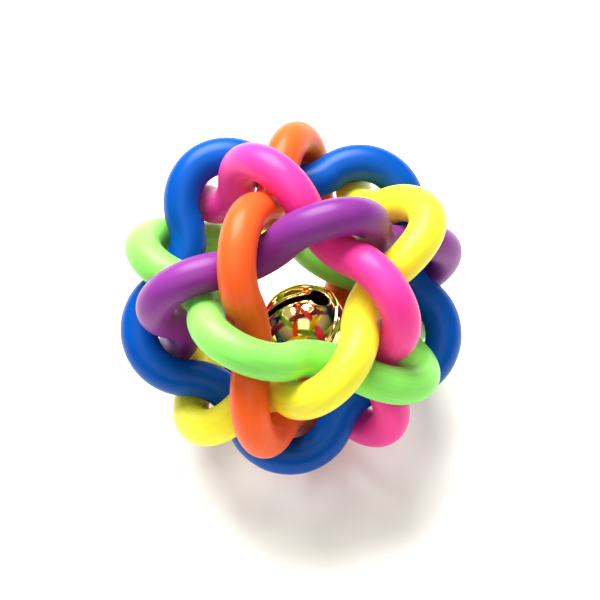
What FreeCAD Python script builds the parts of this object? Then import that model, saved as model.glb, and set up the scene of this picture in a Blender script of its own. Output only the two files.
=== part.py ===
"""Woven ring ball: six closed rubber rings linked over and under round a loose jingle bell.

Frame: +Z is up and the ball stands on three lobes at Z = 0, centred on the Z axis.
Every ring lies flat in its own plane.  It has five lobes, where it passes over its
neighbours, and five dips, where it passes under them.  The six ring axes are the six
five-fold axes of an icosahedron, so the ball looks the same from every ring's axis.
"""
import FreeCAD, Part

import math
import os

import Sketcher
from FreeCAD import Placement, Rotation, Vector

ORIGIN = Vector(0, 0, 0)
AXIS_X = Vector(1, 0, 0)
AXIS_Y = Vector(0, 1, 0)
AXIS_Z = Vector(0, 0, 1)

# Driving dimensions in millimetres and degrees: alias, value, meaning.
SIZES = (
    ("ball_width", 75.0, "outside of the ball, lobe top to lobe top"),
    ("strand_dia", 7.8, "diameter of the rubber strand"),
    ("lobe_bend", 10.2, "bend radius of a lobe's centreline"),
    ("dip_bend", 12.2, "bend radius of a dip's centreline"),
    ("lobe_count", 5, "lobes on each ring, and dips between them"),
    ("bell_dia", 18.6, "outside of the bell's two domes"),
    ("bell_wall", 0.5, "sheet thickness of the domes"),
    ("flange_reach", 0.25, "upper dome's flange beyond the dome"),
    ("lip_cover", 0.15, "how far the folded lip stands off the upper dome"),
    ("slot_width", 1.5, "slot across the lower dome"),
    ("slot_hole_dia", 4.4, "round hole at each end of the slot"),
    ("slot_hole_tilt", 64.0, "round hole's axis from the bell's axis"),
    ("loop_wire", 1.0, "wire of the hanging loop"),
    ("loop_bend", 1.7, "centreline radius of the loop's arch"),
    ("loop_rise", 0.9, "straight leg between the dome's top and the arch"),
    ("loop_foot", 0.9, "centreline radius of each leg's bent foot"),
    ("loop_play", 0.05, "radial room between wire and dome hole"),
    ("loop_turn", -50.0, "loop's plane from the slot's plane"),
    ("pellet_dia", 5.5, "loose steel ball inside the bell"),
    ("pellet_gap", 0.2, "pellet above the bell's wall where it lies"),
    ("bell_drop", 11.5, "bell's centre below the ball's centre at rest"),
    ("bell_shift", 1.2, "bell's centre along +X at rest"),
    ("bell_pitch", -35.0, "bell's lean about Y at rest"),
    ("bell_roll", 172.5, "bell's turn about its slot direction at rest"),
)

# Angle between neighbouring five-fold axes, and between one of them and the three-fold
# axis of a face beside it: the ball stands with such a three-fold axis upright.  The
# other angles are about the blue ring's axis: the turn that puts that three-fold axis
# over +Y, the place of a lobe, and the step from one neighbouring axis to the next.
RING_AXIS_ANGLE = math.degrees(math.atan(2))
UPRIGHT_TILT = math.degrees(math.atan(3 - math.sqrt(5)))
UPRIGHT_SPIN = -18.0
LOBE_PHASE = 54.0
NEIGHBOUR_PITCH = 72.0

RING_NAMES = ("orange_ring", "green_ring", "yellow_ring", "pink_ring", "purple_ring")

# Centreline geometry of a ring, as expressions of the driving dimensions.
HALF_PITCH = "180 / Sizes.lobe_count"
CROWN_RADIUS = "(Sizes.ball_width - Sizes.strand_dia) / 2"
LOBE_CENTRE = f"({CROWN_RADIUS} - Sizes.lobe_bend)"
BEND_SUM = "(Sizes.lobe_bend + Sizes.dip_bend)"
DIP_CENTRE = (f"({LOBE_CENTRE} * cos({HALF_PITCH})"
              f" + sqrt({BEND_SUM}^2 - ({LOBE_CENTRE} * sin({HALF_PITCH}))^2))")
DIP_RADIUS = f"({DIP_CENTRE} - Sizes.dip_bend)"
DIP_SWEEP = f"2 * asin({LOBE_CENTRE} * sin({HALF_PITCH}) / {BEND_SUM})"
LOBE_SWEEP = f"2 * ({HALF_PITCH} * 1deg) + {DIP_SWEEP}"

doc = FreeCAD.newDocument("WovenRingBall")


def make_sheet():
    """Spreadsheet with one aliased cell for each driving dimension."""
    sheet = doc.addObject("Spreadsheet::Sheet", "Sizes")
    for row, (alias, value, meaning) in enumerate(SIZES, start=1):
        sheet.set(f"A{row}", meaning)
        sheet.set(f"B{row}", str(value))
        sheet.setAlias(f"B{row}", alias)
    doc.recompute()
    return sheet


sizes = make_sheet()


def origin_feature(body, role):
    """Origin plane or axis of a body, found by its role."""
    for feature in body.Origin.OriginFeatures:
        if feature.Role == role:
            return feature
    raise RuntimeError(f"{body.Label} has no {role}")


# ---------------------------------------------------------------- rings

def add_bend(body, name, circle_radius, bend_axis, sweep, turn):
    """One bend of the strand: a circle swept round an axis square to the ring's plane.

    The circle lies in a plane through the ring's axis, turned by turn degrees, and is
    swept the same angle to both sides of that plane.
    """
    sketch = body.newObject("Sketcher::SketchObject", f"{name}_section")
    sketch.AttachmentSupport = (origin_feature(body, "XZ_Plane"), "")
    sketch.MapMode = "FlatFace"
    sketch.AttachmentOffset = Placement(ORIGIN, Rotation(AXIS_Y, turn))

    # Rough sizes to draw the sketch with; the expressions below give it its real ones.
    rough_radius = 30
    rough_section = 4
    rough_axis = 20
    rough_half = 5
    circle = sketch.addGeometry(Part.Circle(Vector(rough_radius, 0, 0), AXIS_Z, rough_section))
    axis_line = sketch.addGeometry(
        Part.LineSegment(Vector(rough_axis, -rough_half, 0), Vector(rough_axis, rough_half, 0)), True)

    sketch.addConstraint(Sketcher.Constraint("PointOnObject", circle, 3, -1))
    across = sketch.addConstraint(Sketcher.Constraint("DistanceX", -1, 1, circle, 3, rough_radius))
    width = sketch.addConstraint(Sketcher.Constraint("Diameter", circle, 2 * rough_section))
    sketch.addConstraint(Sketcher.Constraint("Symmetric", axis_line, 1, axis_line, 2, -1))
    length = sketch.addConstraint(
        Sketcher.Constraint("DistanceY", axis_line, 1, axis_line, 2, 2 * rough_half))
    offset = sketch.addConstraint(Sketcher.Constraint("DistanceX", -1, 1, axis_line, 1, rough_axis))
    sketch.setExpression(f"Constraints[{across}]", circle_radius)
    sketch.setExpression(f"Constraints[{width}]", "Sizes.strand_dia")
    sketch.setExpression(f"Constraints[{length}]", "Sizes.strand_dia")
    sketch.setExpression(f"Constraints[{offset}]", bend_axis)

    bend = body.newObject("PartDesign::Revolution", name)
    bend.Profile = sketch
    bend.ReferenceAxis = (sketch, ["Axis0"])
    bend.Midplane = True
    bend.setExpression("Angle", sweep)
    doc.recompute()
    return bend


def make_ring(label, rotation):
    """A closed ring: one lobe and one dip, repeated round the ring's own axis."""
    body = doc.addObject("PartDesign::Body", label)
    body.Label = label
    half_pitch = 180 / sizes.lobe_count
    lobe = add_bend(body, f"{label}_lobe", CROWN_RADIUS, LOBE_CENTRE, LOBE_SWEEP, 0)
    dip = add_bend(body, f"{label}_dip", DIP_RADIUS, DIP_CENTRE, DIP_SWEEP, half_pitch)

    pattern = body.newObject("PartDesign::PolarPattern", f"{label}_round")
    pattern.Originals = [lobe, dip]
    pattern.Axis = (origin_feature(body, "Z_Axis"), [""])
    pattern.Angle = 360
    pattern.setExpression("Occurrences", "Sizes.lobe_count")
    body.Tip = pattern
    body.Placement = Placement(ball_centre, rotation)
    return body


def ball_centre_height():
    """Height of the ball's centre when it stands on three lobes.

    The upright axis lies outside a lobe's plane by the angle between that axis and the
    ring's plane.  Its part in the plane meets the lobe away from the lobe's middle.
    """
    upright_to_crown = math.atan((3 - math.sqrt(5)) / 2)
    ring_to_crown = math.radians(RING_AXIS_ANGLE / 2)
    along_crown = math.cos(upright_to_crown)
    along_strand = math.sin(upright_to_crown) * math.cos(ring_to_crown)
    crown_radius = (sizes.ball_width - sizes.strand_dia) / 2
    lobe_centre = crown_radius - sizes.lobe_bend
    in_plane = math.hypot(along_crown, along_strand)
    return lobe_centre * along_crown + sizes.lobe_bend * in_plane + sizes.strand_dia / 2


ball_centre = Vector(0, 0, ball_centre_height())

# The blue ring's axis leans towards -Y; each other ring is the blue one turned half
# round about the line midway between the two ring axes.
upright = Rotation(AXIS_X, UPRIGHT_TILT) * Rotation(AXIS_Z, UPRIGHT_SPIN)
lobe_phase = Rotation(AXIS_Z, LOBE_PHASE)
rings = [make_ring("blue_ring", upright * lobe_phase)]
for index, ring_name in enumerate(RING_NAMES):
    to_midway = Rotation(AXIS_Z, NEIGHBOUR_PITCH * index) * Rotation(AXIS_Y, RING_AXIS_ANGLE / 2)
    midway = to_midway.multVec(AXIS_Z)
    rings.append(make_ring(ring_name, upright * Rotation(midway, 180) * lobe_phase))


# ---------------------------------------------------------------- bell

# The bell's own frame has its centre at the origin, its loop at +Z and its slot along X.
bell_place = Placement(
    ball_centre + Vector(sizes.bell_shift, 0, -sizes.bell_drop),
    Rotation(0, sizes.bell_pitch, sizes.bell_roll))


def primitive(kind, name, expressions, place=None):
    """Part primitive whose sizes follow the sheet."""
    solid = doc.addObject(kind, name)
    for prop, expression in expressions.items():
        solid.setExpression(prop, expression)
    if place is not None:
        solid.Placement = place
    return solid


def dome(name, first_latitude, last_latitude):
    """Half of the bell's outer sphere."""
    solid = primitive("Part::Sphere", name, {"Radius": "Sizes.bell_dia / 2"})
    solid.Angle1 = first_latitude
    solid.Angle2 = last_latitude
    return solid


def hollow(name):
    """The bell's inner sphere, to be cut away."""
    return primitive("Part::Sphere", name, {"Radius": "Sizes.bell_dia / 2 - Sizes.bell_wall"})


def disc(name, radius, height, base):
    """Flat round slab on the bell's axis, from base upwards."""
    solid = primitive("Part::Cylinder", name, {"Radius": radius, "Height": height})
    solid.setExpression("Placement.Base.z", base)
    return solid


def fuse(name, shapes):
    """Several solids joined into one."""
    joined = doc.addObject("Part::MultiFuse", name)
    joined.Shapes = shapes
    return joined


def cut(name, base, tool):
    """One solid with another taken away."""
    remainder = doc.addObject("Part::Cut", name)
    remainder.Base = base
    remainder.Tool = tool
    return remainder


def make_upper_shell():
    """Plain dome with a narrow flange, and two holes for the loop's legs."""
    outer = fuse("upper_outer", [
        dome("upper_dome", 0, 90),
        disc("upper_flange", "Sizes.bell_dia / 2 + Sizes.flange_reach", "Sizes.bell_wall", "0 mm")])
    tools = [hollow("upper_hollow")]
    for side, name in ((-1, "upper_leg_hole_a"), (1, "upper_leg_hole_b")):
        hole = primitive("Part::Cylinder", name, {
            "Radius": "Sizes.loop_wire / 2 + Sizes.loop_play",
            "Height": "Sizes.bell_dia",
            "Placement.Base.x": f"{side} * Sizes.loop_bend * cos(Sizes.loop_turn)",
            "Placement.Base.y": f"{side} * Sizes.loop_bend * sin(Sizes.loop_turn)"})
        tools.append(hole)
    shell = cut("bell_upper_shell", outer, fuse("upper_tools", tools))
    shell.Label = "bell_upper_shell"
    shell.Placement = bell_place
    return shell


def make_lower_shell():
    """Slotted dome whose lip is folded over the upper dome's flange."""
    flange_radius = "Sizes.bell_dia / 2 + Sizes.flange_reach"
    outer = fuse("lower_outer", [
        dome("lower_dome", -90, 0),
        disc("lower_rim", f"{flange_radius} + Sizes.bell_wall / 2", "2.5 * Sizes.bell_wall",
             "-Sizes.bell_wall / 2")])
    flange_seat = disc("flange_seat", flange_radius, "Sizes.bell_wall", "0 mm")
    dome_way = disc("dome_way", "Sizes.bell_dia / 2 + Sizes.lip_cover", "2 * Sizes.bell_wall", "0 mm")
    slot = primitive("Part::Box", "slot", {
        "Length": "Sizes.bell_dia * sin(Sizes.slot_hole_tilt)",
        "Width": "Sizes.slot_width",
        "Height": "Sizes.bell_dia",
        "Placement.Base.x": "-Sizes.bell_dia * sin(Sizes.slot_hole_tilt) / 2",
        "Placement.Base.y": "-Sizes.slot_width / 2",
        "Placement.Base.z": "-Sizes.bell_dia"})
    tools = [hollow("lower_hollow"), flange_seat, dome_way, slot]
    for side, name in ((-1, "slot_hole_a"), (1, "slot_hole_b")):
        tilt = Rotation(AXIS_Y, 180 - side * sizes.slot_hole_tilt)
        tools.append(primitive(
            "Part::Cylinder", name,
            {"Radius": "Sizes.slot_hole_dia / 2", "Height": "Sizes.bell_dia"},
            Placement(ORIGIN, tilt)))
    shell = cut("bell_lower_shell", outer, fuse("lower_tools", tools))
    shell.Label = "bell_lower_shell"
    shell.Placement = bell_place
    return shell


def make_loop():
    """Wire staple: an arch above the dome, two legs through it and feet bent apart inside."""
    arch_height = sizes.bell_dia / 2 + sizes.loop_rise
    foot_height = sizes.bell_dia / 2 - sizes.bell_wall - sizes.loop_wire
    bend_expressions = {"Radius1": "Sizes.loop_bend", "Radius2": "Sizes.loop_wire / 2"}
    foot_expressions = {"Radius1": "Sizes.loop_foot", "Radius2": "Sizes.loop_wire / 2"}
    leg_expressions = {"Radius": "Sizes.loop_wire / 2",
                       "Height": "Sizes.loop_rise + Sizes.bell_wall + Sizes.loop_wire"}
    stand_up = Rotation(AXIS_X, 90)
    arch = primitive("Part::Torus", "loop_arch", bend_expressions,
                     Placement(Vector(0, 0, arch_height), stand_up))
    arch.Angle3 = 180
    pieces = [arch]
    for side, suffix in ((-1, "a"), (1, "b")):
        leg = primitive("Part::Cylinder", f"loop_leg_{suffix}", leg_expressions,
                        Placement(Vector(side * sizes.loop_bend, 0, foot_height), Rotation()))
        bend_centre = Vector(side * (sizes.loop_bend + sizes.loop_foot), 0, foot_height)
        first_quarter = 180 if side > 0 else 270
        foot = primitive("Part::Torus", f"loop_foot_{suffix}", foot_expressions,
                         Placement(bend_centre, stand_up * Rotation(AXIS_Z, first_quarter)))
        foot.Angle3 = 90
        pieces += [leg, foot]
    loop = fuse("bell_loop", pieces)
    loop.Label = "bell_loop"
    loop.Placement = bell_place * Placement(ORIGIN, Rotation(AXIS_Z, sizes.loop_turn))
    return loop


def make_pellet():
    """Steel ball lying at the lowest point of the bell's hollow."""
    pellet = primitive("Part::Sphere", "bell_pellet", {"Radius": "Sizes.pellet_dia / 2"})
    pellet.Label = "bell_pellet"
    drop = (sizes.bell_dia - sizes.pellet_dia) / 2 - sizes.bell_wall - sizes.pellet_gap
    pellet.Placement = Placement(bell_place.Base - Vector(0, 0, drop), Rotation())
    return pellet


sub_parts = rings + [make_upper_shell(), make_lower_shell(), make_loop(), make_pellet()]
doc.recompute()

# ---------------------------------------------------------------- checks and export

for item in doc.Objects:
    if "Invalid" in item.State or "Error" in item.State:
        raise RuntimeError(f"{item.Label} failed to build: {item.State}")

os.makedirs("parts", exist_ok=True)
for part in sub_parts:
    shape = part.Shape
    if shape.isNull() or not shape.isValid() or len(shape.Solids) != 1:
        raise RuntimeError(f"{part.Label} is not one valid solid")
    shape.exportStep(f"parts/{part.Label}.step")
    box = shape.optimalBoundingBox(False)
    print(f"{part.Label}: {shape.Volume:.1f} mm3, X {box.XMin:.2f} {box.XMax:.2f},"
          f" Y {box.YMin:.2f} {box.YMax:.2f}, Z {box.ZMin:.2f} {box.ZMax:.2f}")
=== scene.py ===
"""Looks of the woven ring ball: six rubber rings and a polished jingle bell, built round the CAD frame."""
import math

import bmesh
import bpy
import numpy as np
from mathutils import Matrix, Vector, noise


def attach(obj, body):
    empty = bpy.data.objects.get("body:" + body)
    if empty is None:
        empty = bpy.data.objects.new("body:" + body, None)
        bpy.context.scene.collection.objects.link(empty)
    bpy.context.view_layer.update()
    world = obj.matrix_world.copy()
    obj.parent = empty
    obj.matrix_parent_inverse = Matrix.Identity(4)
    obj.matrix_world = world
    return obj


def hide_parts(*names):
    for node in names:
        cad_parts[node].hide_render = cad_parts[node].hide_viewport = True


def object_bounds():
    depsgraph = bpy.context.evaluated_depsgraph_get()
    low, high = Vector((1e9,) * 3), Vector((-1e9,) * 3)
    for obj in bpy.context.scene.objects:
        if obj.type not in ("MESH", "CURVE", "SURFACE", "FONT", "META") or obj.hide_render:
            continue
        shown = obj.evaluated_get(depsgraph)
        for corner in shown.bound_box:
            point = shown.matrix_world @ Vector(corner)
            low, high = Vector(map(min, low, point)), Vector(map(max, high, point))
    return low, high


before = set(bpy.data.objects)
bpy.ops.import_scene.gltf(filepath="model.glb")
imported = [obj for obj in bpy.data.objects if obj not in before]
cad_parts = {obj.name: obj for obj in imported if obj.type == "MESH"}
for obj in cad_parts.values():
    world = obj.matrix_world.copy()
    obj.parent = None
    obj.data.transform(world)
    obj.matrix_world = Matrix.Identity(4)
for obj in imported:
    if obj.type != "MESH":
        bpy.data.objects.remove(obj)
cad_low, cad_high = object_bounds()

MM = 0.001
TURN = 2 * math.pi
BALL_CENTRE = (cad_low + cad_high) / 2

# ------------------------------------------------------------------ ring geometry

STRAND_RADIUS = 3.9 * MM
CROWN_RADIUS = 33.6 * MM
LOBE_BEND = 10.2 * MM
DIP_BEND = 12.2 * MM
LOBES = 5
HALF_PITCH = math.pi / LOBES

RING_AXIS_ANGLE = math.atan(2)
UPRIGHT_TILT = math.atan(3 - math.sqrt(5))
UPRIGHT_SPIN = math.radians(-18)
LOBE_PHASE = math.radians(54)
NEIGHBOUR_PITCH = math.radians(72)
NEIGHBOURS = ("orange", "green", "yellow", "pink", "purple")

RUBBER_COLOURS = {
    "blue": (0.0, 0.090, 0.400),
    "pink": (0.980, 0.064, 0.330),
    "orange": (0.950, 0.132, 0.028),
    "yellow": (0.950, 0.820, 0.055),
    "green": (0.270, 0.760, 0.140),
    "purple": (0.235, 0.043, 0.265),
}

ARC_STEPS = 44
AROUND = 48

# The rings were threaded by hand, so a few lobes stand out or lean.
# {ring: {lobe: (millimetres outward, millimetres along the ring's axis)}}
UNEVEN_LOBES = {
    "blue": {1: (0.8, 0.0)},
    "yellow": {2: (1.5, -1.5)},
    "pink": {2: (0.3, 0.5), 3: (0.4, 0.6)},
    "purple": {3: (0.4, 0.6)},
}
# Where each strand's two ends are bonded, in turns from the ring's first lobe.
BOND_PLACES = {"blue": 0.79, "orange": 0.56, "green": 0.935, "yellow": 0.55, "pink": 0.18, "purple": 0.38}
BOND_GROOVE = 0.16 * MM
BOND_BEAD = 0.06 * MM
BOND_WIDTH = 0.35 * MM
UNEVENNESS = 0.05 * MM
# Vertex map of each strand: the direction round it as a unit vector's two parts, then metres along it.
STRAND_MAP = "strand"


def upright():
    """Turns the blue ring's own frame so that a three-fold axis of the weave stands up."""
    return Matrix.Rotation(UPRIGHT_TILT, 3, "X") @ Matrix.Rotation(UPRIGHT_SPIN, 3, "Z")


def ring_frames():
    """Rotation of each ring from its own frame, where it is flat in XY with a lobe at +X."""
    phase = Matrix.Rotation(LOBE_PHASE, 3, "Z")
    frames = {"blue": upright() @ phase}
    for index, name in enumerate(NEIGHBOURS):
        to_midway = (Matrix.Rotation(NEIGHBOUR_PITCH * index, 3, "Z")
                     @ Matrix.Rotation(RING_AXIS_ANGLE / 2, 3, "Y"))
        midway = to_midway @ Vector((0, 0, 1))
        frames[name] = upright() @ Matrix.Rotation(math.pi, 3, midway) @ phase
    return frames


def arc_points(centre, radius, first, last, count):
    """Points along an arc, without its last one."""
    angles = np.linspace(first, last, count, endpoint=False)
    return centre + radius * np.stack([np.cos(angles), np.sin(angles)], axis=1)


def ring_line():
    """Closed centreline of a ring in its plane: five outward arcs joined by five inward ones."""
    lobe_centre = CROWN_RADIUS - LOBE_BEND
    bend_sum = LOBE_BEND + DIP_BEND
    side = lobe_centre * math.sin(HALF_PITCH)
    dip_centre = lobe_centre * math.cos(HALF_PITCH) + math.sqrt(bend_sum ** 2 - side ** 2)
    dip_half = math.asin(side / bend_sum)
    lobe_half = dip_half + HALF_PITCH
    lobe = arc_points(np.array([lobe_centre, 0.0]), LOBE_BEND, -lobe_half, lobe_half, 2 * ARC_STEPS)
    middle = HALF_PITCH + math.pi
    dip_at = dip_centre * np.array([math.cos(HALF_PITCH), math.sin(HALF_PITCH)])
    dip = arc_points(dip_at, DIP_BEND, middle + dip_half, middle - dip_half, ARC_STEPS)
    fifth = np.concatenate([lobe, dip])
    turns = []
    for lobe_index in range(LOBES):
        cosine = math.cos(2 * HALF_PITCH * lobe_index)
        sine = math.sin(2 * HALF_PITCH * lobe_index)
        turns.append(fifth @ np.array([[cosine, sine], [-sine, cosine]]))
    line = np.concatenate(turns)
    return np.concatenate([line, np.zeros((len(line), 1))], axis=1)


def new_object(name, verts, faces, material, slots=None):
    """Smooth-shaded mesh object; slots gives each face's material index when there are several."""
    mesh = bpy.data.meshes.new(name)
    mesh.from_pydata(np.asarray(verts).tolist(), [], [list(face) for face in faces])
    mesh.polygons.foreach_set("use_smooth", [True] * len(mesh.polygons))
    for item in material if isinstance(material, (list, tuple)) else [material]:
        mesh.materials.append(item)
    if slots is not None:
        mesh.polygons.foreach_set("material_index", slots)
    mesh.update()
    obj = bpy.data.objects.new(name, mesh)
    bpy.context.scene.collection.objects.link(obj)
    return obj


def tube(line, radii, closed):
    """Vertices and faces of a tube along a line that lies near the XY plane of its own frame."""
    count, around = radii.shape
    if closed:
        ahead = np.roll(line, -1, axis=0) - np.roll(line, 1, axis=0)
    else:
        ahead = np.gradient(line, axis=0)
    ahead /= np.linalg.norm(ahead, axis=1, keepdims=True)
    side = np.cross(ahead, [0.0, 0.0, 1.0])
    side /= np.linalg.norm(side, axis=1, keepdims=True)
    lift = np.cross(side, ahead)
    angles = np.linspace(0, TURN, around, endpoint=False)[None, :, None]
    spokes = side[:, None, :] * np.cos(angles) + lift[:, None, :] * np.sin(angles)
    verts = (line[:, None, :] + spokes * radii[:, :, None]).reshape(-1, 3)
    return verts, grid_faces(count, around, closed, True)


def grid_faces(rows, columns, close_rows=False, close_columns=False):
    """Quads of a grid of vertices, row by row."""
    row = np.arange(rows if close_rows else rows - 1)[:, None]
    column = np.arange(columns if close_columns else columns - 1)[None, :]
    next_row = (row + 1) % rows
    next_column = (column + 1) % columns
    corners = [row * columns + column, next_row * columns + column,
               next_row * columns + next_column, row * columns + next_column]
    return np.stack(corners, axis=2).reshape(-1, 4)


def fix_normals(obj):
    """Turns every face outwards."""
    bm = bmesh.new()
    bm.from_mesh(obj.data)
    bmesh.ops.recalc_face_normals(bm, faces=bm.faces)
    bm.to_mesh(obj.data)
    bm.free()


def lean_lobes(line, lobes):
    """Moves single lobes of a centreline outward and sideways, fading to nothing at their dips."""
    fade_power = 4
    turn = np.arctan2(line[:, 1], line[:, 0])
    outward = np.zeros(len(line))
    sideways = np.zeros(len(line))
    for lobe, (out_mm, side_mm) in lobes.items():
        away = (turn - 2 * HALF_PITCH * lobe + math.pi) % TURN - math.pi
        share = np.where(np.abs(away) < HALF_PITCH, np.cos(away * LOBES / 2) ** fade_power, 0.0)
        outward += share * out_mm * MM
        sideways += share * side_mm * MM
    moved = line.copy()
    moved[:, 0] += outward * np.cos(turn)
    moved[:, 1] += outward * np.sin(turn)
    moved[:, 2] += sideways
    return moved


def along_strand(line, colour):
    """Distance of each centreline point along its strand from the bond, and the strand's length."""
    steps = np.linalg.norm(np.roll(line, -1, axis=0) - line, axis=1)
    length = steps.sum()
    along = np.concatenate([[0.0], np.cumsum(steps)[:-1]])
    return (along - BOND_PLACES[colour] * length) % length, length


def strand_radii(along, length, colour):
    """Strand radius along and round the ring: moulding unevenness and the groove and bead of the bond."""
    ring_shift = 7.0 * sorted(RUBBER_COLOURS).index(colour)
    wide_rate, fine_rate = 3, 9
    wide_flatness = 0.6
    fine_share = 0.4
    angles = np.linspace(0, TURN, AROUND, endpoint=False)
    radii = np.empty((len(along), AROUND))
    for row, place in enumerate(along / length * TURN):
        cosine, sine = math.cos(place), math.sin(place)
        for column, angle in enumerate(angles):
            wide = noise.noise(Vector((
                wide_rate * cosine + ring_shift, wide_rate * sine, wide_flatness * math.cos(angle))))
            fine = noise.noise(Vector((fine_rate * cosine + ring_shift, fine_rate * sine, math.sin(angle))))
            radii[row, column] = STRAND_RADIUS + UNEVENNESS * (wide + fine_share * fine)
    from_bond = np.minimum(along, length - along)
    bead_place = 2.6 * BOND_WIDTH
    groove = -BOND_GROOVE * np.exp(-(from_bond / BOND_WIDTH) ** 2)
    bead = BOND_BEAD * np.exp(-((from_bond - bead_place) / BOND_WIDTH) ** 2)
    return radii + (groove + bead)[:, None]


def strand_map(along):
    """Values of the strand's vertex map."""
    angles = np.linspace(0, TURN, AROUND, endpoint=False)
    around = np.stack([np.cos(angles), np.sin(angles)], axis=1)
    return np.concatenate([np.tile(around, (len(along), 1)), np.repeat(along, AROUND)[:, None]], axis=1)


def make_ring(colour, rotation, material):
    """One rubber ring in place of its CAD solid."""
    line = lean_lobes(ring_line(), UNEVEN_LOBES.get(colour, {}))
    along, length = along_strand(line, colour)
    verts, faces = tube(line, strand_radii(along, length, colour), True)
    obj = new_object(f"{colour}_rubber_ring", verts, faces, material)
    layer = obj.data.attributes.new(STRAND_MAP, "FLOAT_VECTOR", "POINT")
    layer.data.foreach_set("vector", strand_map(along).ravel())
    obj.data.transform(Matrix.Translation(BALL_CENTRE) @ rotation.to_4x4())
    fix_normals(obj)
    node = f"{colour}_ring"
    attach(obj, node)
    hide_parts(node)


# ------------------------------------------------------------------ jingle bell

BELL_CENTRE = BALL_CENTRE + Vector((1.2, 0, -11.5)) * MM
BELL_PITCH = math.radians(-35)
BELL_ROLL = math.radians(172.5)
BELL_RADIUS = 9.3 * MM
BELL_WALL = 0.5 * MM
RIM_RADIUS = 9.8 * MM
SLOT_HALF = 0.75 * MM
HOLE_RADIUS = 2.2 * MM
HOLE_TILT = math.radians(64)
LIP_HEIGHT = 0.22 * MM
LIP_REACH = 0.60 * MM
# The flat of the sheet ends half a wall back from the slot, and a half round closes it.
SLOT_EDGE = BELL_WALL / 2
DOME_STEPS = 150
# Distance given to places that the slot or a hole doesn't face; it is larger than the bell.
FAR = 1.0
LOOP_TURN = math.radians(-50)
LOOP_WIRE = 1.0 * MM
LOOP_BEND = 1.7 * MM
LOOP_RISE = 0.9 * MM
LOOP_FOOT = 0.9 * MM
PELLET_RADIUS = 2.75 * MM
PELLET_DROP = 5.85 * MM


def bell_matrix():
    """Places the bell's own frame, which has the loop at +Z and the slot along X across -Z."""
    turn = Matrix.Rotation(BELL_PITCH, 4, "Y") @ Matrix.Rotation(BELL_ROLL, 4, "X")
    return Matrix.Translation(BELL_CENTRE) @ turn


def slot_distance(points):
    """Distance along the dome from the edge of the slot and its round ends, negative inside them."""
    beside_slot = np.abs(points[..., 0]) < BELL_RADIUS * math.sin(HOLE_TILT)
    distance = np.where(beside_slot, np.abs(points[..., 1]) - SLOT_HALF, FAR)
    for side in (-1, 1):
        axis = np.array([side * math.sin(HOLE_TILT), 0.0, -math.cos(HOLE_TILT)])
        along = points @ axis
        off_axis = np.linalg.norm(points - along[..., None] * axis, axis=-1) - HOLE_RADIUS
        distance = np.minimum(distance, np.where(along > 0, off_axis, FAR))
    return distance


def dome_point(u, v):
    """Point of the lower dome: u runs along the slot and v across it, both in radians."""
    return BELL_RADIUS * np.stack([np.cos(v) * np.sin(u), np.sin(v), -np.cos(v) * np.cos(u)], axis=-1)


def edge_distance(u, v):
    """Distance of a place on the lower dome from the line where the flat of its sheet ends."""
    return slot_distance(dome_point(u, v)) - SLOT_EDGE


def slotted_dome():
    """Grid over the lower dome, its vertices near the slot pulled to its edge, and the faces outside it."""
    steps = np.linspace(-np.pi / 2, np.pi / 2, DOME_STEPS + 1)
    u, v = (grid.ravel() for grid in np.meshgrid(steps, steps, indexing="ij"))
    edge = edge_distance(u, v)
    faces = grid_faces(DOME_STEPS + 1, DOME_STEPS + 1)
    pairs = np.concatenate([faces[:, [0, 1]], faces[:, [1, 2]], faces[:, [2, 3]], faces[:, [3, 0]]])
    start, end = pairs[edge[pairs[:, 0]] * edge[pairs[:, 1]] < 0].T
    snapped = np.unique(np.where(np.abs(edge[start]) < np.abs(edge[end]), start, end))
    pull_rounds = 4
    nudge = 0.05 * (steps[1] - steps[0])
    flattest = 1e-12
    for _ in range(pull_rounds):
        here = edge_distance(u[snapped], v[snapped])
        slope_u = (edge_distance(u[snapped] + nudge, v[snapped]) - here) / nudge
        slope_v = (edge_distance(u[snapped], v[snapped] + nudge) - here) / nudge
        steepness = np.maximum(slope_u ** 2 + slope_v ** 2, flattest)
        u[snapped] -= here * slope_u / steepness
        v[snapped] -= here * slope_v / steepness
    edge = edge_distance(u, v)
    edge[snapped] = 0
    kept = []
    for face in faces:
        inside = edge[face] < 0
        middle = edge_distance(u[face].mean(), v[face].mean())
        if inside.sum() == 0 and middle > 0:
            kept.append(tuple(face))
        elif inside.sum() == 1:
            kept.append(tuple(face[~inside]))
    return u, v, kept


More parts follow.
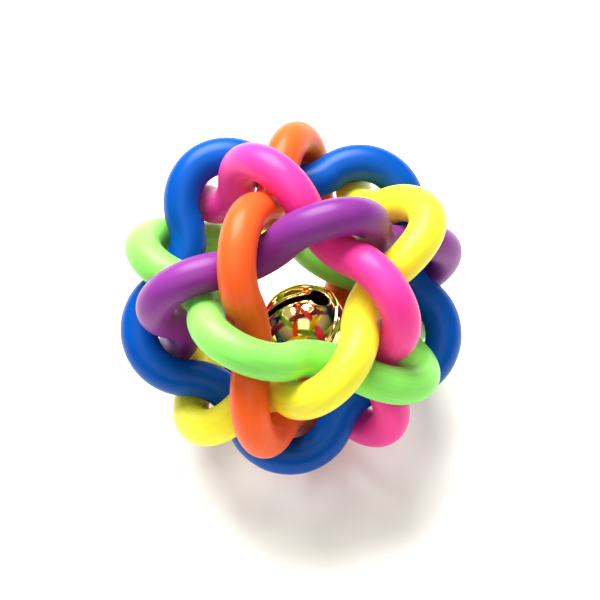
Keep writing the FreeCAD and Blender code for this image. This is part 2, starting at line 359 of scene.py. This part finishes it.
def lower_dome(materials):
    """Slotted dome with a rounded lip along the slot and the inner face, which takes the second material:
    rougher brass painted dark as shade inside the bell.
    """
    u, v, outer_faces = slotted_dome()
    used = sorted({index for face in outer_faces for index in face})
    renumber = {index: place for place, index in enumerate(used)}
    outer_faces = [tuple(renumber[index] for index in face) for face in outer_faces]
    surface = dome_point(u[used], v[used])
    normals = surface / np.linalg.norm(surface, axis=1, keepdims=True)
    from_edge = slot_distance(surface) - SLOT_EDGE
    lip = LIP_HEIGHT * np.exp(-(from_edge / LIP_REACH) ** 2)
    outer = surface + normals * lip[:, None]
    inner = outer - normals * BELL_WALL
    count = len(used)
    verts = [outer, inner]
    faces = list(outer_faces)
    slots = [0] * len(outer_faces)
    faces += [tuple(index + count for index in reversed(face)) for face in outer_faces]
    slots += [1] * len(outer_faces)

    # The slot's border is every side that only one face has, apart from the dome's open rim.
    sides = [pair for face in outer_faces for pair in zip(face, face[1:] + face[:1])]
    taken = set(sides)
    at_slot = 0.05 * MM
    border = [pair for pair in sides if pair[::-1] not in taken and max(from_edge[list(pair)]) < at_slot]
    rim = sorted({index for pair in border for index in pair})
    place = {index: row for row, index in enumerate(rim)}
    rim_points = surface[rim]
    nudge = 0.02 * MM
    slope = np.stack([slot_distance(rim_points + nudge * axis) - slot_distance(rim_points - nudge * axis)
                      for axis in np.eye(3)], axis=1)
    slope -= normals[rim] * (slope * normals[rim]).sum(axis=1, keepdims=True)
    slope /= np.linalg.norm(slope, axis=1, keepdims=True)
    round_steps = 6
    bends = np.linspace(0, np.pi, round_steps + 1)[1:-1]
    centre = (outer[rim] + inner[rim]) / 2
    layers = [rim]
    for step, bend in enumerate(bends):
        verts.append(centre + BELL_WALL / 2 * (normals[rim] * math.cos(bend) - slope * math.sin(bend)))
        first = 2 * count + step * len(rim)
        layers.append(list(range(first, first + len(rim))))
    layers.append([index + count for index in rim])
    for upper, lower in zip(layers, layers[1:]):
        for start, end in border:
            here, there = place[start], place[end]
            faces.append((upper[there], upper[here], lower[here], lower[there]))
            slots.append(0)
    return new_object("bell_slotted_dome", np.concatenate(verts), faces, materials, slots)


def lathe(profile, around):
    """Grid turned about Z from (radius, height) pairs."""
    turn = np.linspace(0, TURN, around, endpoint=False)
    radius, height = np.array(profile).T[:, :, None]
    height = np.repeat(height, around, axis=1)
    verts = np.stack([radius * np.cos(turn), radius * np.sin(turn), height], axis=2).reshape(-1, 3)
    return verts, grid_faces(len(profile), around, False, True)


def smooth_profile(points, count):
    """Rounded line through a few profile points, by Catmull-Rom pieces."""
    points = np.array([points[0], *points, points[-1]])
    line = []
    for a, b, c, d in zip(points, points[1:], points[2:], points[3:]):
        for t in np.linspace(0, 1, count, endpoint=False):
            line.append(0.5 * (2 * b + (c - a) * t + (2 * a - 5 * b + 4 * c - d) * t ** 2
                               + (3 * b - a - 3 * c + d) * t ** 3))
    line.append(points[-1])
    return line


def plain_dome(materials):
    """Upper dome: outer face down to the seam, and the inner face, which takes the second material: rougher
    brass painted dark as shade inside the bell.
    """
    pole_gap = 1e-4
    seam_latitude = 0.02
    latitudes = np.linspace(np.pi / 2 - pole_gap, seam_latitude, 60)
    verts, faces, slots = [], [], []
    for layer, radius in enumerate((BELL_RADIUS, BELL_RADIUS - BELL_WALL)):
        profile = [(radius * math.cos(latitude), radius * math.sin(latitude)) for latitude in latitudes]
        points, quads = lathe(profile, around=160)
        if layer == 1:
            quads = quads[:, ::-1]
        faces += [tuple(quad + len(points) * layer) for quad in quads]
        verts.append(points)
        slots += [layer] * len(quads)
    return new_object("bell_plain_dome", np.concatenate(verts), faces, materials, slots)


def seam(material):
    """Folded seam: the slotted dome's edge flares out and is rolled over the plain dome's flange."""
    # From the flare to the roll's end: how far inside the rim each point lies, and how high, in millimetres.
    section_mm = [(0.56, -0.80), (0.46, -0.45), (0.20, -0.26), (0.04, -0.12), (0.00, 0.15), (0.01, 0.60),
                  (0.08, 0.88), (0.26, 1.00), (0.40, 0.90), (0.44, 0.62), (0.50, 0.35)]
    section = [(RIM_RADIUS - inward * MM, height * MM) for inward, height in section_mm]
    verts, faces = lathe(smooth_profile(section, 4), around=240)
    return new_object("bell_folded_seam", verts, faces, material)


def wire_loop(material):
    """Bent wire staple through the plain dome, its feet spread inside."""
    top = BELL_RADIUS + LOOP_RISE
    foot = BELL_RADIUS - BELL_WALL - LOOP_WIRE
    corner = 0.45 * MM
    leg_foot, leg_top = foot + 0.7 * MM, top - 0.2 * MM
    arch = [(LOOP_BEND * math.cos(a), top + LOOP_BEND * math.sin(a)) for a in np.linspace(0, np.pi, 25)]
    right = [(LOOP_BEND + LOOP_FOOT, foot), (LOOP_BEND + 0.8 * LOOP_FOOT, foot)]
    right += [(LOOP_BEND + corner * (1 - math.sin(a)), foot + corner * (1 - math.cos(a)))
              for a in np.linspace(0, np.pi / 2, 7)]
    right += [(LOOP_BEND, height) for height in np.linspace(leg_foot, leg_top, 8)]
    left = [(-x, height) for x, height in reversed(right)]
    line = np.array([(x, height, 0.0) for x, height in right + arch + left])
    radii = np.full((len(line), 28), LOOP_WIRE / 2)
    # The wire's cut ends close to a point, with a slight round before them.
    tip_share, shoulder_share = 0.05, 0.96
    radii[[0, -1]] *= tip_share
    radii[[1, -2]] *= shoulder_share
    verts, faces = tube(line, radii, False)
    obj = new_object("bell_wire_loop", verts, faces, material)
    stand = Matrix.Rotation(LOOP_TURN, 4, "Z") @ Matrix.Rotation(math.pi / 2, 4, "X")
    obj.data.transform(stand)
    return obj


def make_bell(polished, painted_shade_inner, wire):
    """The whole bell in place of its CAD solids, apart from the pellet."""
    place = bell_matrix()
    parts = {
        "bell_lower_shell": lower_dome([polished, painted_shade_inner]),
        "bell_upper_shell": plain_dome([polished, painted_shade_inner]),
        "bell_loop": wire_loop(wire),
    }
    folded = seam(polished)
    for node, obj in parts.items():
        obj.data.transform(place)
        fix_normals(obj)
        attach(obj, "bell")
        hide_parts(node)
    folded.data.transform(place)
    fix_normals(folded)
    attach(folded, "bell")


def make_pellet(material):
    """Tumbled steel ball, slightly dented."""
    dent_depth = 0.03 * MM
    broad_rate, small_rate = 5, 13
    small_share = 0.5
    mesh = bpy.data.meshes.new("bell_rattle_pellet")
    bm = bmesh.new()
    bmesh.ops.create_icosphere(bm, subdivisions=5, radius=PELLET_RADIUS)
    for vert in bm.verts:
        outward = vert.co.normalized()
        dents = noise.noise(outward * broad_rate) + small_share * noise.noise(outward * small_rate)
        vert.co = outward * (PELLET_RADIUS + dent_depth * (dents - 1))
    bm.to_mesh(mesh)
    bm.free()
    mesh.polygons.foreach_set("use_smooth", [True] * len(mesh.polygons))
    mesh.materials.append(material)
    obj = bpy.data.objects.new("bell_rattle_pellet", mesh)
    bpy.context.scene.collection.objects.link(obj)
    mesh.transform(Matrix.Translation(BELL_CENTRE - Vector((0, 0, PELLET_DROP))))
    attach(obj, "pellet")
    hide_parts("bell_pellet")


# ------------------------------------------------------------------ materials

def new_material(name):
    """Node material with its Principled shader."""
    material = bpy.data.materials.new(name)
    material.use_nodes = True
    return material, material.node_tree, material.node_tree.nodes["Principled BSDF"]


def add_noise(tree, vector, scale, detail):
    """Noise texture read at the given coordinates."""
    node = tree.nodes.new("ShaderNodeTexNoise")
    node.inputs["Scale"].default_value = scale
    node.inputs["Detail"].default_value = detail
    tree.links.new(vector, node.inputs["Vector"])
    return node.outputs["Fac"]


def map_range(tree, value, low, high, to_low, to_high):
    """Rescales a value between two limits."""
    node = tree.nodes.new("ShaderNodeMapRange")
    node.inputs["From Min"].default_value = low
    node.inputs["From Max"].default_value = high
    node.inputs["To Min"].default_value = to_low
    node.inputs["To Max"].default_value = to_high
    tree.links.new(value, node.inputs["Value"])
    return node.outputs["Result"]


def ramp(tree, value, stops):
    """Colour ramp over (position, colour) stops."""
    node = tree.nodes.new("ShaderNodeValToRGB")
    elements = node.color_ramp.elements
    while len(elements) < len(stops):
        elements.new(0.5)
    for element, (position, colour) in zip(elements, stops):
        element.position = position
        element.color = (*colour, 1)
    tree.links.new(value, node.inputs["Fac"])
    return node.outputs["Color"]


def add_bump(tree, shader, height, strength, distance):
    """Bumps the shader's surface by a height value."""
    node = tree.nodes.new("ShaderNodeBump")
    node.inputs["Strength"].default_value = strength
    node.inputs["Distance"].default_value = distance
    tree.links.new(height, node.inputs["Height"])
    tree.links.new(node.outputs["Normal"], shader.inputs["Normal"])


def scaled(tree, vector, scale):
    """Vector multiplied by a different amount along each axis."""
    node = tree.nodes.new("ShaderNodeVectorMath")
    node.operation = "MULTIPLY"
    node.inputs[1].default_value = scale
    tree.links.new(vector, node.inputs[0])
    return node.outputs["Vector"]


def tinted(tree, colour, share):
    """Multiplies a colour by a grey value."""
    node = tree.nodes.new("ShaderNodeVectorMath")
    node.operation = "SCALE"
    tree.links.new(colour, node.inputs[0])
    tree.links.new(share, node.inputs["Scale"])
    return node.outputs["Vector"]


def rubber(colour):
    """Semi-gloss rubber: cloudy pigment, faint streaks along the strand and a dusty, uneven sheen."""
    material, tree, shader = new_material(f"{colour}_rubber")
    base = RUBBER_COLOURS[colour]
    strand = tree.nodes.new("ShaderNodeAttribute")
    strand.attribute_name = STRAND_MAP
    solid = tree.nodes.new("ShaderNodeTexCoord").outputs["Object"]

    cloud = add_noise(tree, solid, scale=60, detail=3)
    spread = 0.20
    deep = [channel * (1 - spread) for channel in base]
    pale = [min(1.0, channel * (1 + spread)) for channel in base]
    pigment = ramp(tree, cloud, [(0.15, deep), (0.85, pale)])
    lengthwise = scaled(tree, strand.outputs["Vector"], (5, 5, 60))
    streak = add_noise(tree, lengthwise, scale=1, detail=3)
    shade = map_range(tree, streak, low=0.1, high=0.9, to_low=0.90, to_high=1.08)
    tree.links.new(tinted(tree, pigment, shade), shader.inputs["Base Color"])

    # A sheen that crosses a roughness of about 0.27 renders with hard marks along the crossing.
    haze = add_noise(tree, solid, scale=240, detail=2)
    sheen = map_range(tree, haze, low=0.1, high=0.9, to_low=0.28, to_high=0.42)
    tree.links.new(sheen, shader.inputs["Roughness"])
    add_bump(tree, shader, streak, strength=0.25, distance=0.04 * MM)
    shader.inputs["Specular IOR Level"].default_value = 0.25
    return material


def metal(name, light, dark, smoothest, roughest, dents=0.0):
    """Metal with faint tarnish, polishing haze and, where dents is more than nothing, a soft wave."""
    material, tree, shader = new_material(name)
    vector = tree.nodes.new("ShaderNodeTexCoord").outputs["Object"]
    tarnish = add_noise(tree, vector, scale=180, detail=4)
    tree.links.new(ramp(tree, tarnish, [(0.35, dark), (0.65, light)]), shader.inputs["Base Color"])
    haze = add_noise(tree, vector, scale=420, detail=6)
    sheen = map_range(tree, haze, low=0.3, high=0.7, to_low=smoothest, to_high=roughest)
    tree.links.new(sheen, shader.inputs["Roughness"])
    shader.inputs["Metallic"].default_value = 1.0
    if dents:
        wave = add_noise(tree, vector, scale=110, detail=2)
        add_bump(tree, shader, wave, strength=dents, distance=0.2 * MM)
    return material


# ------------------------------------------------------------------ camera, light and floor

# Angles are in degrees. Azimuth 0 lies in front of the ball, towards -Y, and azimuth 90 towards +X.
CAMERA_AZIMUTH = -10.1
CAMERA_ELEVATION = 54.65
CAMERA_ROLL = -8.3
CAMERA_DISTANCE = 420 * MM
AIM_RIGHT = 1.39 * MM
AIM_DOWN = 0.43 * MM
LENS_MM = 119
SENSOR_MM = 36
LAMP_DISTANCE = 0.9
FLOOR_HALF = 3.0


def direction(azimuth, elevation):
    """Unit vector from the ball towards a place at that azimuth and elevation, in degrees."""
    a, e = math.radians(azimuth), math.radians(elevation)
    return Vector((math.sin(a) * math.cos(e), -math.cos(a) * math.cos(e), math.sin(e)))


def make_camera():
    """Camera far in front and above, rolled a little and aimed beside the ball's centre."""
    back = direction(CAMERA_AZIMUTH, CAMERA_ELEVATION)
    level = back.to_track_quat("Z", "Y").to_matrix()
    turned = level @ Matrix.Rotation(math.radians(CAMERA_ROLL), 3, "Z")
    right, up = turned.col[0], turned.col[1]
    data = bpy.data.cameras.new("camera")
    data.lens = LENS_MM
    data.sensor_width = SENSOR_MM
    data.clip_start = 0.01
    camera = bpy.data.objects.new("camera", data)
    aim = BALL_CENTRE + right * AIM_RIGHT - up * AIM_DOWN
    camera.matrix_world = Matrix.Translation(aim + back * CAMERA_DISTANCE) @ turned.to_4x4()
    bpy.context.scene.collection.objects.link(camera)
    bpy.context.scene.camera = camera


def make_lamp(name, azimuth, elevation, size, power):
    """Square soft white light aimed at the ball."""
    data = bpy.data.lights.new(name, "AREA")
    data.size = size
    data.energy = power
    lamp = bpy.data.objects.new(name, data)
    towards = direction(azimuth, elevation)
    lamp.location = BALL_CENTRE + towards * LAMP_DISTANCE
    lamp.rotation_mode = "QUATERNION"
    lamp.rotation_quaternion = towards.to_track_quat("Z", "Y")
    bpy.context.scene.collection.objects.link(lamp)


def make_floor():
    """Plain pale surface that the ball stands on."""
    mesh = bpy.data.meshes.new("floor")
    corners = [(x * FLOOR_HALF, y * FLOOR_HALF, 0) for x, y in ((-1, -1), (1, -1), (1, 1), (-1, 1))]
    mesh.from_pydata(corners, [], [(0, 1, 2, 3)])
    floor = bpy.data.objects.new("floor", mesh)
    bpy.context.scene.collection.objects.link(floor)
    material, _, shader = new_material("floor")
    shader.inputs["Base Color"].default_value = (0.84, 0.83, 0.79, 1)
    shader.inputs["Roughness"].default_value = 0.9
    shader.inputs["Specular IOR Level"].default_value = 0.1
    shader.inputs["Emission Color"].default_value = (1.0, 0.99, 0.95, 1)
    shader.inputs["Emission Strength"].default_value = 0.16
    mesh.materials.append(material)


def make_world():
    """Studio surroundings: bright overhead and darker towards the horizon."""
    world = bpy.data.worlds.new("studio")
    world.use_nodes = True
    tree = world.node_tree
    facing = tree.nodes.new("ShaderNodeTexCoord").outputs["Generated"]
    split = tree.nodes.new("ShaderNodeSeparateXYZ")
    tree.links.new(facing, split.inputs["Vector"])
    greys = ((0.0, 0.06), (0.3, 0.36), (0.8, 1.0))
    sky = ramp(tree, split.outputs["Z"], [(height, (grey, grey, grey)) for height, grey in greys])
    background = tree.nodes["Background"]
    tree.links.new(sky, background.inputs["Color"])
    background.inputs["Strength"].default_value = 0.50
    bpy.context.scene.world = world


make_camera()
make_world()
make_floor()
make_lamp("key", azimuth=178, elevation=61, size=0.7, power=17.2)
make_lamp("fill", azimuth=-20, elevation=55, size=0.7, power=1.6)

for ring_colour, ring_rotation in ring_frames().items():
    make_ring(ring_colour, ring_rotation, rubber(ring_colour))

polished_brass = metal("polished_brass", light=(1.0, 0.74, 0.28), dark=(0.93, 0.62, 0.20),
                       smoothest=0.05, roughest=0.13, dents=0.45)
# Inner face of the bell: rougher than the outside, and its colour painted dark as shade inside the hollow.
inner_brass_painted_shade = metal("inner_brass_painted_shade", light=(0.20, 0.12, 0.045), dark=(0.10, 0.06, 0.025),
                    smoothest=0.45, roughest=0.65)
wire_brass = metal("wire_brass", light=(0.95, 0.74, 0.36), dark=(0.80, 0.58, 0.26),
                   smoothest=0.12, roughest=0.25)
tumbled_steel = metal("tumbled_steel", light=(0.50, 0.50, 0.51), dark=(0.30, 0.29, 0.28),
                      smoothest=0.28, roughest=0.5, dents=0.4)
make_bell(polished_brass, inner_brass_painted_shade, wire_brass)
make_pellet(tumbled_steel)

bpy.context.scene.view_settings.view_transform = "Standard"
bpy.context.scene.view_settings.look = "Medium High Contrast"
